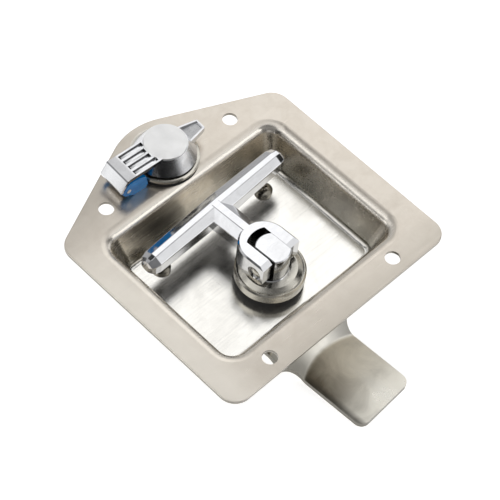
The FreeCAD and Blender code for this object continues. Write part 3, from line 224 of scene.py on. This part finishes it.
def steel_sheet():
    """Satin stainless sheet: rolling lines, pressing waves, smudges, fine scratches and blanked edges.
    Painted shade darkens the blanked edges, the walls towards their foot, faces turned down, the low edge
    and the flange near the cap; painted highlights brighten its left edge and the rolled edge of the dish.
    """
    k = Look("satin_stainless")
    grain = k.noise(0.9, 5, 0.6, stretch=(0.03, 1.0, 1.0))
    cross = k.noise(0.7, 3, 0.5, stretch=(1.0, 0.08, 1.0), turn=(0, 0, 0.3))
    cloud = k.noise(26, 4, 0.6, warp=0.8)
    patch = k.noise(7, 5, 0.65, shift=(0.3, 0.1, 0.2), warp=0.5)
    wave = k.noise(11, 2, 0.4, shift=(0.7, 0.4, 0.1))
    draw = k.noise(9, 3, 0.5, stretch=(1.0, 1.0, 0.18), shift=(0.2, 0.8, 0.0))
    scratch_a = k.band(k.noise(1.4, 1, 0.4, stretch=(0.05, 1, 1), turn=(0, 0, 0.9)), 0.73, 0.80)
    scratch_b = k.band(k.noise(1.6, 1, 0.4, stretch=(1, 0.06, 1), turn=(0, 0, 0.5)), 0.74, 0.81)
    scratches = k.math("MAXIMUM", scratch_a, scratch_b)
    across = k.axis(0)
    along = k.axis(1)
    height = k.axis(2)
    upward = k.facing(2)
    tilt = k.size_of(upward)
    floor = k.times(k.zone(height, DISH_FLOOR, 1.0, 0.0), k.band(upward, 0.5, 0.95))
    wall = k.times(k.band(tilt, 0.70, 0.93, 1.0, 0.0, True), k.zone(height, DISH_WALL_TOP, 1.0, 0.0))
    # Mask for painted shade on the sheet's blanked edges, the faces that stand up above the dish.
    shaded_cut_edge = k.times(k.band(tilt, 0.2, 0.6, 1.0, 0.0), k.zone(height, SHEET_EDGE_FOOT))
    base = k.mix(k.band(cloud, 0.3, 0.7), (0.73, 0.67, 0.59), (0.83, 0.77, 0.685))
    base = k.mix(k.band(patch, 0.42, 0.78, 0.0, 0.6), base, (0.64, 0.575, 0.49))
    # Painted shade along the flange's low edge and on the flange near the cap.
    shaded_low_edge = k.times(k.zone(along, SHADED_LOW_EDGE_Y, 1.0, 0.0), k.zone(across, SHADED_LOW_EDGE_X, 0.25, 1.0))
    cap_shade = k.times(k.zone(along, CAP_SHADE_Y), k.zone(across, CAP_SHADE_X, 1.0, 0.0))
    base = k.mix(k.times(shaded_low_edge, 0.75), base, (0.60, 0.555, 0.485))
    base = k.mix(k.times(cap_shade, 0.8), base, (0.48, 0.44, 0.385))
    # A painted highlight on the flange's left edge.
    lit_left_edge = k.times(k.zone(across, LIT_LEFT_EDGE_X, 1.0, 0.0), k.zone(along, LIT_LEFT_EDGE_Y, 1.0, 0.0))
    base = k.mix(k.times(lit_left_edge, 0.7), base, (0.97, 0.92, 0.83))
    bright = k.mix(k.band(cloud, 0.35, 0.75), (0.98, 0.965, 0.92), (0.90, 0.88, 0.83))
    base = k.mix(floor, base, bright)
    # Painted shade on the walls, darkest at their foot and fading upwards, broken by random streaks from the
    # draw noise.
    depth = k.plus(k.zone(height, WALL_SHADE_RISE), k.band(draw, 0.3, 0.7, -0.22, 0.22))
    shaded_wall_tone = k.mix(k.band(depth, 0.0, 1.0), (0.46, 0.44, 0.385), (0.93, 0.86, 0.755))
    base = k.mix(wall, base, shaded_wall_tone)
    # A painted highlight along the rolled edge at the top of the walls; the same mask also lowers the
    # roughness there.
    roll = k.times(k.zone(height, ROLL_FOOT), k.band(tilt, 0.90, 0.995, 1.0, 0.0, True))
    roll = k.times(roll, k.zone(height, ROLL_TOP, 1.0, 0.0))
    base = k.mix(roll, base, (0.92, 0.87, 0.79))
    base = k.mix(k.times(scratches, 0.25), base, (0.80, 0.77, 0.72))
    # Faces turned downwards get painted shade.
    base = k.mix(k.band(upward, -0.03, 0.01, 0.8, 0.0), base, (0.40, 0.375, 0.33))
    # The blanked edges get painted shade.
    k.color(k.mix(k.times(shaded_cut_edge, 0.8), base, (0.13, 0.12, 0.10)))
    r = k.plus(k.band(cloud, 0.3, 0.7, 0.27, 0.36), k.band(grain, 0.3, 0.7, -0.03, 0.05))
    r = k.math("SUBTRACT", r, k.times(floor, 0.12))
    r = k.math("SUBTRACT", r, k.times(k.math("MAXIMUM", wall, roll), 0.08))
    k.rough(k.plus(r, k.times(scratches, 0.06)))
    k.fixed(Metallic=1.0)
    smooth = k.math("SUBTRACT", 1.0, k.times(wall, 0.85))
    fine = k.times(grain, smooth)
    k.bump([(wave, 0.09), (patch, 0.006), (fine, 0.003), (cross, 0.0008), (scratches, -0.002)])
    return k.mat


def chrome(name, tint, rough, casting, edge=None, slot=None):
    """Chrome plate over a polished casting: soft waves under it, wipe marks and tiny pits on it.

    edge gives the two ends of the upward tilt at which rounded edges get a painted dark reflection,
    and with it faces turned down get painted shade. slot paints shade on faces within the fork:
    "walls" takes all steep faces, and "flats" those that face left or right.
    """
    k = Look(name)
    smear = k.noise(5, 4, 0.6, stretch=(0.5, 1, 1), warp=1.0)
    wave = k.noise(6.5, 2, 0.45, shift=(0.2, 0.6, 0.1))
    pits = k.band(k.noise(0.35, 2, 0.5), 0.72, 0.8)
    wipe = k.noise(0.5, 3, 0.5, stretch=(0.06, 1, 1), turn=(0, 0, 0.4))
    base = k.mix(k.band(smear, 0.35, 0.75), tint, tuple(c * 0.90 for c in tint))
    if edge:
        low, high = edge
        upward = k.facing(2)
        # A painted dark reflection along rounded edges.
        shaded_rim = k.times(k.band(upward, low, low + 0.02), k.band(upward, high - 0.01, high, 1.0, 0.0))
        base = k.mix(k.times(shaded_rim, 0.85), base, (0.10, 0.10, 0.11))
        # Painted shade on faces turned down.
        base = k.mix(k.band(upward, -0.30, -0.04, 0.9, 0.0), base, (0.07, 0.07, 0.075))
    if slot:
        # Painted shade on faces within the fork's slot.
        across, along = k.local(SPINDLE, REST_TURN)
        slot_shade = k.zone(k.size_of(across), FORK_SLOT_HALF_W, 1.0, 0.0)
        slot_shade = k.times(slot_shade, k.zone(along, FORK_SLOT_REACH, 1.0, 0.0))
        if slot == "flats":
            plain = k.band(k.size_of(k.facing(0)), 0.93, 0.98)
        else:
            plain = k.band(k.size_of(k.facing(2)), 0.25, 0.45, 1.0, 0.0)
        base = k.mix(k.times(slot_shade, plain), base, (0.09, 0.09, 0.09))
    k.color(base)
    r = k.plus(k.band(smear, 0.3, 0.75, rough * 0.7, rough * 1.7), k.band(wipe, 0.4, 0.7, 0.0, 0.03))
    k.rough(k.plus(r, k.times(pits, 0.15)))
    k.fixed(Metallic=1.0)
    k.bump([(wave, casting), (wipe, 0.0006), (pits, -0.004)])
    return k.mat


def cap_casting():
    """Satin chrome of the cap: blasted arm and cone, a calm nose toned down with painted shade under a
    painted dark line along the ridge, and painted shade in the grooves.

    The cone gets a painted dark reflection: it stays bright where it faces the picture's right and is
    darkest to both sides of that.
    """
    k = Look("cap_casting")
    blast = k.noise(0.22, 4, 0.6)
    cloud = k.noise(4.0, 4, 0.6, warp=0.8)
    wipe = k.noise(0.5, 3, 0.5, stretch=(0.08, 1, 1), turn=(0, 0, 0.3))
    upward = k.facing(2)
    height = k.axis(2)
    tone = k.mix(k.band(cloud, 0.3, 0.75), (0.86, 0.865, 0.88), (0.74, 0.745, 0.76))
    across, _ = k.local(LOCK, CAP_TURN)
    top = k.band(upward, 0.96, 0.99)
    plain = k.times(k.zone(across, PLAIN_TOP_RIGHT, 1.0, 0.0), k.zone(across, PLAIN_TOP_LEFT))
    tone = k.mix(k.times(k.times(top, plain), 0.8), tone, (0.48, 0.48, 0.49))
    # Painted shade tones down the nose face that looks along -X and up.
    nose = k.times(k.band(k.facing(0), -0.80, -0.65, 1.0, 0.0), k.band(upward, 0.35, 0.45))
    tone = k.mix(nose, tone, (0.55, 0.555, 0.565))
    # A painted shade line along the ridge between the arm's top and the nose.
    ridge = k.times(k.zone(across, RIDGE_OUTER), k.zone(across, RIDGE_INNER, 1.0, 0.0))
    tone = k.mix(k.times(ridge, 0.85), tone, (0.06, 0.06, 0.065))
    # Painted shade on steep faces high on the cap: the groove walls and the arm's sides.
    steep = k.band(k.size_of(upward), 0.10, 0.30, 1.0, 0.0)
    tone = k.mix(k.times(steep, k.zone(height, GROOVE_FOOT)), tone, (0.10, 0.10, 0.105))
    # A painted dark reflection on the cone, lightest where it faces towards -Y.
    cone = k.times(k.band(upward, 0.08, 0.16), k.band(upward, 0.62, 0.70, 1.0, 0.0))
    cone = k.times(cone, k.zone(across, CONE_LEFT))
    lit = k.turned_to((0.38, -0.92, 0.0))
    cone_shade = k.times(k.band(lit, 0.30, 0.84, 0.88, 0.0, True), k.band(lit, -0.25, 0.25, 0.35, 1.0))
    tone = k.mix(k.times(cone, cone_shade), tone, (0.08, 0.08, 0.085))
    k.color(tone)
    k.rough(k.plus(k.band(cloud, 0.3, 0.75, 0.18, 0.25), k.band(wipe, 0.4, 0.7, 0.0, 0.04)))
    k.fixed(Metallic=1.0)
    k.bump([(cloud, 0.012), (blast, 0.0004), (wipe, 0.0005)])
    return k.mat


def plated(name, light, dark, rough=0.32, grain_turn=0.0):
    """Zinc-plated or plain machined steel with a patchy passivation tint."""
    k = Look(name)
    cloud = k.noise(4.5, 4, 0.6, warp=0.6)
    grain = k.noise(0.45, 4, 0.55, stretch=(0.08, 1, 1), turn=(0, 0, grain_turn))
    speck = k.band(k.noise(0.5, 2, 0.5, shift=(0.4, 0.4, 0)), 0.66, 0.78)
    base = k.mix(k.band(cloud, 0.32, 0.7), light, dark)
    k.color(k.mix(k.times(speck, 0.4), base, tuple(c * 0.45 for c in dark)))
    r = k.band(cloud, 0.3, 0.7, rough - 0.07, rough + 0.09)
    k.rough(k.plus(r, k.band(grain, 0.35, 0.7, 0.0, 0.06)))
    k.fixed(Metallic=1.0)
    k.bump([(cloud, 0.01), (grain, 0.003), (speck, -0.006)])
    return k.mat


def rubber():
    """Matt black rubber with pale dust on it."""
    k = Look("black_rubber")
    grain = k.noise(0.3, 4, 0.6)
    dust = k.noise(6, 5, 0.65, warp=0.7)
    flow = k.noise(1.6, 3, 0.5, stretch=(1, 1, 0.2))
    black, dusty = (0.022, 0.022, 0.0231), (0.0704, 0.0682, 0.0638)
    k.color(k.mix(k.band(dust, 0.45, 0.8, 0.0, 0.6), black, dusty))
    k.rough(k.band(dust, 0.3, 0.8, 0.55, 0.82))
    k.fixed(Specular_IOR_Level=0.4)
    k.bump([(flow, 0.02), (grain, 0.012)])
    return k.mat


def blue_plastic():
    """Glossy moulded plastic with flow lines and a few scuffs."""
    k = Look("moulded_blue")
    flow = k.noise(4.5, 3, 0.5, stretch=(0.4, 1, 1), warp=1.2)
    grain = k.noise(0.22, 3, 0.5)
    scuff = k.band(k.noise(1.3, 2, 0.45, stretch=(0.1, 1, 1), turn=(0, 0.5, 0.7)), 0.66, 0.75)
    base = k.mix(k.band(flow, 0.3, 0.75), (0.0, 0.24, 0.72), (0.01, 0.36, 0.92))
    k.color(k.mix(k.times(scuff, 0.35), base, (0.22, 0.42, 0.62)))
    k.rough(k.plus(k.band(flow, 0.3, 0.7, 0.16, 0.28), k.times(scuff, 0.2)))
    k.fixed(Specular_IOR_Level=0.35)
    k.bump([(flow, 0.012), (grain, 0.003)])
    return k.mat


def satin_disc():
    """Fine blasted face with small specks."""
    k = Look("satin_disc")
    blast = k.noise(0.16, 4, 0.6)
    cloud = k.noise(5.5, 4, 0.6, warp=0.5)
    tone = k.mix(k.band(cloud, 0.3, 0.75), (0.93, 0.93, 0.925), (0.87, 0.87, 0.865))
    speck = k.band(k.noise(0.4, 2, 0.5, shift=(0.1, 0.9, 0)), 0.68, 0.78)
    k.color(k.mix(k.times(speck, 0.3), tone, (0.58, 0.58, 0.57)))
    k.rough(k.band(cloud, 0.3, 0.7, 0.32, 0.40))
    k.fixed(Metallic=0.9)
    k.bump([(blast, 0.0008), (cloud, 0.006)])
    return k.mat


def brass():
    """Machined brass with turning lines and tarnish."""
    k = Look("machined_brass")
    turn_lines = k.noise(0.3, 3, 0.5, stretch=(0.15, 0.15, 1))
    tarnish = k.noise(3.5, 5, 0.65, warp=0.8)
    k.color(k.mix(k.band(tarnish, 0.4, 0.75), (0.74, 0.60, 0.33), (0.50, 0.37, 0.17)))
    k.rough(k.band(tarnish, 0.3, 0.75, 0.2, 0.42))
    k.fixed(Metallic=1.0)
    k.bump([(turn_lines, 0.006), (tarnish, 0.004)])
    return k.mat


def blade_steel():
    """Plated pressed steel with long draw marks, brown-grey by the bend and paler towards the tip from
    painted shade with patchy variation.

    A pale streak runs down the tongue; its left edge and all its edge faces get painted shade, and the
    bent part a painted light that grows towards its right.
    """
    k = Look("blade_steel")
    draw = k.noise(1.1, 4, 0.6, stretch=(1, 0.05, 1), turn=(0, 0, BLADE_TURN))
    cloud = k.noise(13, 4, 0.6, warp=0.9, shift=(0.2, 0.2, 0))
    fine = k.noise(0.5, 3, 0.5)
    across, along = k.local(Vector((0, 0, 0)), BLADE_TURN)
    streak = k.times(k.zone(across, STREAK_LEFT), k.zone(across, STREAK_RIGHT, 1.0, 0.0))
    streak = k.times(streak, k.zone(along, STREAK_FADE, 1.0, 0.35))
    upward = k.facing(2)
    # Painted shade: dark on the tongue's left and by the bend, fading towards the tip, with patchy variation
    # from the cloud.
    shade = k.times(k.zone(across, BLADE_SHADE_X, 1.0, 0.0), k.zone(along, BLADE_SHADE_Y, 0.25, 1.0))
    shade = k.plus(shade, k.band(cloud, 0.35, 0.7, -0.12, 0.18))
    base = k.mix(k.band(shade, 0.0, 0.95), (0.92, 0.89, 0.80), (0.215, 0.195, 0.16))
    base = k.mix(k.times(streak, 0.6), base, (0.88, 0.86, 0.79))
    # Painted shade along the tongue's left edge.
    shaded_brink = k.times(k.zone(across, SHADED_BRINK_X, 1.0, 0.0), k.zone(along, SHADED_BRINK_Y, 1.0, 0.3))
    base = k.mix(k.times(shaded_brink, 0.75), base, (0.055, 0.052, 0.045))
    # A painted light on the bent part, dark on its left and bright on its right.
    lit_slope = k.mix(k.zone(across, LIT_SLOPE_X), (0.60, 0.575, 0.51), (0.98, 0.95, 0.87))
    base = k.mix(k.band(upward, 0.90, 0.98), lit_slope, base)
    # Painted shade on all edge faces of the blade.
    base = k.mix(k.band(k.size_of(upward), 0.2, 0.5), (0.20, 0.19, 0.165), base)
    k.color(k.mix(k.band(draw, 0.58, 0.82, 0.0, 0.20), base, (0.62, 0.61, 0.57)))
    k.rough(k.plus(k.band(cloud, 0.3, 0.7, 0.26, 0.38), k.band(fine, 0.4, 0.7, 0.0, 0.04)))
    k.fixed(Metallic=1.0)
    k.bump([(cloud, 0.06), (draw, 0.005), (fine, 0.002)])
    return k.mat


zinc = plated("zinc_plate", (0.58, 0.57, 0.53), (0.42, 0.40, 0.34))
chrome_bright = chrome("chrome_casting", (0.86, 0.865, 0.885), 0.07, 0.04,
                       edge=(0.862, 0.938), slot="walls")
satin_turned = chrome("satin_turned", (0.64, 0.615, 0.55), 0.20, 0.01)
black_rubber = rubber()
LOOKS = {
    "dish": steel_sheet(),
    "collar": satin_turned,
    "collar_gasket": black_rubber,
    "backing_plate": plated("backing_zinc", (0.56, 0.55, 0.51), (0.40, 0.375, 0.31), 0.36, 0.6),
    "backing_screws": plated("screw_zinc", (0.42, 0.40, 0.35), (0.20, 0.18, 0.145), 0.17),
    "backing_washers": zinc,
    "backing_nuts": zinc,
    "sleeve_nut": zinc,
    "spindle": chrome("chrome_spindle", (0.86, 0.865, 0.88), 0.09, 0.03, slot="flats"),
    "spindle_seal": black_rubber,
    "thrust_washer": brass(),
    "cam_blade": blade_steel(),
    "cam_washer": zinc,
    "cam_nut": zinc,
    "handle": chrome_bright,
    "handle_pin": plated("pin_steel", (0.74, 0.73, 0.70), (0.60, 0.58, 0.54), 0.16),
    "lock_housing": satin_turned,
    "lock_gasket": black_rubber,
    "lock_nut": zinc,
    "key_plug": brass(),
    "lock_cam": zinc,
    "lock_cam_washer": zinc,
    "lock_cam_screw": zinc,
    "hinge_bracket": blue_plastic(),
    "cap_hinge_pin": plated("hinge_pin_steel", (0.95, 0.94, 0.92), (0.85, 0.84, 0.80), 0.34),
    "weather_cap": cap_casting(),
    "cap_disc": satin_disc(),
    "cap_seal": black_rubber,
}
for name, material in LOOKS.items():
    data = nodes[name].data
    if not data.materials:
        data.materials.append(material)
    for index in range(len(data.materials)):
        data.materials[index] = material


def surround():
    """What the chrome mirrors: two soft boxes overhead with a dark seam between them, a low strip
    on the picture's right, a faint panel towards the camera and a glow on the left."""
    world = scene.world or bpy.data.worlds.new("studio")
    scene.world = world
    world.use_nodes = True
    tree = world.node_tree
    back = tree.nodes["Background"]
    towards = tree.nodes.new("ShaderNodeTexCoord").outputs["Generated"]

    def along(direction):
        dot = tree.nodes.new("ShaderNodeVectorMath")
        dot.operation = "DOT_PRODUCT"
        dot.inputs[1].default_value = direction
        tree.links.new(towards, dot.inputs[0])
        return dot.outputs["Value"]

    def curve(value, stops):
        """Grey that follows a value through stops, each a place and a tone."""
        node = tree.nodes.new("ShaderNodeValToRGB")
        ramp = node.color_ramp
        low, high = stops[0][0], stops[-1][0]
        spread = tree.nodes.new("ShaderNodeMapRange")
        spread.inputs["From Min"].default_value = low
        spread.inputs["From Max"].default_value = high
        tree.links.new(value, spread.inputs["Value"])
        tree.links.new(spread.outputs["Result"], node.inputs["Fac"])
        for index, (place, tone) in enumerate(stops):
            at = (place - low) / (high - low)
            if index == 0:
                stop = ramp.elements[0]
            elif index == len(stops) - 1:
                stop = ramp.elements[len(ramp.elements) - 1]
            else:
                stop = ramp.elements.new(at)
            stop.position = at
            stop.color = (tone, tone, tone, 1)
        return node.outputs["Color"]

    def joined(kind, a, b):
        m = tree.nodes.new("ShaderNodeMix")
        m.data_type = "RGBA"
        m.blend_type = kind
        m.inputs["Factor"].default_value = 1.0
        tree.links.new(a, m.inputs[6])
        tree.links.new(b, m.inputs[7])
        return m.outputs[2]

    seam = along((-0.466, -0.836, 0.289))
    far_box = curve(along((0.45, 0.38, 1.0)),
                    ((-0.6, 0.02), (0.1, 0.03), (0.35, 0.18), (0.66, 0.54), (1.2, 0.68)))
    far_side = curve(seam, ((-1.0, 1.0), (-0.19, 1.0), (-0.13, 0.05), (0.02, 0.05), (0.06, 0.0), (1.0, 0.0)))
    near_box = curve(seam, ((-1.0, 0.0), (0.02, 0.0), (0.06, 0.98), (0.55, 0.95), (0.64, 0.12), (1.0, 0.06)))
    upright = along((0.0, 0.0, 1.0))
    overhead = curve(upright, ((-1.0, 0.0), (0.50, 0.0), (0.66, 1.0), (1.0, 1.0)))
    colour = joined("ADD", joined("MULTIPLY", far_box, far_side), joined("MULTIPLY", near_box, overhead))
    low_strip = curve(upright,
                      ((-1.0, 0.0), (-0.32, 0.0), (-0.14, 1.0), (0.20, 1.0), (0.36, 0.0), (1.0, 0.0)))
    low_side = curve(along((0.78, -0.62, 0.0)), ((-1.0, 0.0), (0.55, 0.0), (0.88, 0.75), (1.0, 0.75)))
    colour = joined("ADD", colour, joined("MULTIPLY", low_strip, low_side))
    front_rise = curve(upright, ((-1.0, 0.0), (0.14, 0.0), (0.34, 1.0), (0.72, 1.0), (0.86, 0.0), (1.0, 0.0)))
    front_panel = curve(seam, ((-1.0, 0.0), (0.64, 0.0), (0.74, 0.2), (1.0, 0.2)))
    colour = joined("ADD", colour, joined("MULTIPLY", front_rise, front_panel))
    left_glow = curve(along((-0.61, 0.61, 0.50)), ((-1.0, 0.0), (0.90, 0.0), (0.96, 0.5), (1.0, 0.55)))
    colour = joined("ADD", colour, left_glow)
    tree.links.new(colour, back.inputs["Color"])
    back.inputs["Strength"].default_value = 0.9


def finished(name, bm, body, slot, smooth):
    """An object from a mesh that rides on a body and wears a slot's material."""
    mesh = bpy.data.meshes.new(name)
    bm.to_mesh(mesh)
    bm.free()
    mesh.shade_smooth()
    mesh.set_sharp_from_angle(angle=smooth)
    mesh.materials.append(LOOKS[slot])
    piece = bpy.data.objects.new(name, mesh)
    scene.collection.objects.link(piece)
    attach(piece, body)
    return piece


# How the cap is prepared: welding in metres, lengths in millimetres and the angles that decide
# which edges are dissolved, which are broken and which are shaded as sharp.
WELD = 1e-6
FLAT_ANGLE = math.radians(0.6)
BROKEN_ANGLE = math.radians(61)
BROKEN_LENGTH = 0.9
BROKEN_EDGE = 0.14
CAP_SMOOTH = math.radians(22)


def dressed_cap():
    """The cap's casting with softly broken outer edges, in place of the solid's plain mesh."""
    source = nodes["weather_cap"].data
    bm = bmesh.new()
    corners = [bm.verts.new(v.co) for v in source.vertices]
    for face in source.polygons:
        bm.faces.new([corners[index] for index in face.vertices])
    bmesh.ops.remove_doubles(bm, verts=bm.verts, dist=WELD)
    bmesh.ops.dissolve_degenerate(bm, edges=bm.edges, dist=WELD)
    bmesh.ops.dissolve_limit(bm, verts=bm.verts, edges=bm.edges, angle_limit=FLAT_ANGLE)
    bm.normal_update()
    shared = [edge for edge in bm.edges if len(edge.link_faces) == 2]
    sharp = [edge for edge in shared if edge.calc_face_angle(0) > BROKEN_ANGLE]
    outer = [edge for edge in sharp if edge.is_convex and edge.calc_length() > BROKEN_LENGTH * MM]
    bmesh.ops.bevel(bm, geom=outer, offset=BROKEN_EDGE * MM, segments=2, profile=0.6,
                    affect="EDGES", clamp_overlap=True)
    bmesh.ops.triangulate(bm, faces=[face for face in bm.faces if len(face.verts) > 4])
    piece = finished("cap_casting_piece", bm, "cap_group", "weather_cap", CAP_SMOOTH)
    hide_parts("weather_cap")


# Threads: steps in a turn and steps to fade over, how deep the foot is sunk in millimetres, and
# the half widths of foot and crest as shares of the pitch.
THREAD_STEPS = 28
THREAD_FADE = 10.0
THREAD_SUNK = -0.04
THREAD_FOOT = 0.46
THREAD_CREST = 0.08
THREAD_SMOOTH = math.radians(50)


def thread(name, centre, radius, high, low, pitch, depth, body, slot):
    """Helical thread standing on a plain shank between two heights, faded at both ends."""
    count = int((high - low - pitch) / pitch * THREAD_STEPS)
    bm = bmesh.new()
    rows = []
    for index in range(count + 1):
        angle = 2 * math.pi * index / THREAD_STEPS
        crest = depth * min(1.0, index / THREAD_FADE, (count - index) / THREAD_FADE)
        z = high - pitch * 0.5 - pitch * index / THREAD_STEPS
        aim = Vector((math.cos(angle), math.sin(angle), 0))
        row = []
        for reach, shift in ((THREAD_SUNK, THREAD_FOOT), (crest, THREAD_CREST),
                             (crest, -THREAD_CREST), (THREAD_SUNK, -THREAD_FOOT)):
            at = centre + aim * (radius + reach) + Vector((0, 0, z + shift * pitch))
            row.append(bm.verts.new(at * MM))
        rows.append(row)
    for before, after in zip(rows, rows[1:]):
        for side in range(4):
            bm.faces.new((before[side], before[(side + 1) % 4], after[(side + 1) % 4], after[side]))
    bm.faces.new(rows[0])
    bm.faces.new(list(reversed(rows[-1])))
    bmesh.ops.recalc_face_normals(bm, faces=bm.faces)
    finished(name, bm, body, slot, THREAD_SMOOTH)


def threads():
    """Threads that show behind the nuts: shank radius, upper and lower end, pitch and depth."""
    thread("sleeve_thread", SPINDLE, 11.0, -25.5, -26.9, 0.7, 0.25, "housing", "collar")
    thread("stud_thread", SPINDLE, 4.95, -37.5, -39.0, 0.7, 0.22, "spindle_group", "spindle")
    thread("barrel_thread", LOCK, 8.0, -5.5, -15.9, 1.0, 0.30, "housing", "lock_housing")
    for side, name in ((-1, "screw_thread_left"), (1, "screw_thread_right")):
        centre = Vector((side * SCREW_X, SCREW_Y, 0))
        thread(name, centre, 2.0, -25.5, -26.8, 0.5, 0.16, "housing", "backing_screws")


# The floor's half side in metres, and its gap below the part in millimetres.
FLOOR_HALF_SIDE = 3.0
FLOOR_GAP = 0.5


def studio():
    """Plain pale floor that glows a little, the surround and three soft lamps.

    The key stands above and behind the part, the second lamp low on the picture's left and the
    third on its right. Their directions point from the part to the lamp.
    """
    half = FLOOR_HALF_SIDE
    mesh = bpy.data.meshes.new("floor")
    mesh.from_pydata([(-half, -half, 0), (half, -half, 0), (half, half, 0), (-half, half, 0)],
                     [], [(0, 1, 2, 3)])
    floor = bpy.data.objects.new("floor", mesh)
    floor.location = (0, 0, cad_box[0][2] - FLOOR_GAP * MM)
    scene.collection.objects.link(floor)
    k = Look("pale_floor")
    cloud = k.noise(400, 3, 0.5)
    k.color(k.mix(k.band(cloud, 0.3, 0.7), (0.90, 0.90, 0.90), (0.88, 0.88, 0.88)))
    k.fixed(Roughness=0.8, Emission_Color=(1, 1, 1, 1), Emission_Strength=0.7)
    mesh.materials.append(k.mat)
    surround()

    def area(name, towards, distance, size, power):
        lamp = bpy.data.lights.new(name, "AREA")
        lamp.shape = "RECTANGLE"
        lamp.size, lamp.size_y = size
        lamp.energy = power
        holder = bpy.data.objects.new(name, lamp)
        aim = Vector(towards).normalized()
        holder.location = aim * distance
        holder.rotation_euler = aim.to_track_quat("Z", "Y").to_euler()
        scene.collection.objects.link(holder)

    area("key", (0.62, 0.30, 0.72), 1.3, (0.9, 0.9), 1.5)
    area("horizon", (-0.86, 0.50, 0.10), 1.2, (0.7, 0.5), 1.6)
    area("low", (0.45, -0.76, 0.46), 1.2, (0.7, 0.4), 1.1)


# The camera fitted to the photograph: azimuth, elevation and roll in degrees, what it aims at in
# millimetres, its distance in metres, and its focal length in pixels of the photograph.
VIEW_ANGLES = (-50.682, 55.315, 7.504)
VIEW_TARGET = Vector((-5.555, -6.155, 0))
VIEW_DISTANCE = 0.764554
FOCAL_PIXELS = 1903.083
PHOTO_PIXELS = 500.0
SENSOR_WIDTH = 36.0


def camera():
    azimuth, elevation, roll = (math.radians(v) for v in VIEW_ANGLES)
    back = Vector((math.sin(azimuth) * math.cos(elevation), -math.cos(azimuth) * math.cos(elevation),
                   math.sin(elevation)))
    right = Vector((0, 0, 1)).cross(back).normalized()
    up = back.cross(right)
    side = right * math.cos(roll) + up * math.sin(roll)
    top = up * math.cos(roll) - right * math.sin(roll)
    data = bpy.data.cameras.new("photo_camera")
    data.sensor_width = SENSOR_WIDTH
    data.lens = SENSOR_WIDTH * FOCAL_PIXELS / PHOTO_PIXELS
    data.clip_start = 0.05
    data.clip_end = 20.0
    view = bpy.data.objects.new("photo_camera", data)
    turn = Matrix((side, top, back)).transposed().to_4x4()
    view.matrix_world = Matrix.Translation(VIEW_TARGET * MM + back * VIEW_DISTANCE) @ turn
    scene.collection.objects.link(view)
    scene.camera = view


dressed_cap()
threads()
camera()
studio()
scene.view_settings.view_transform = "Standard"
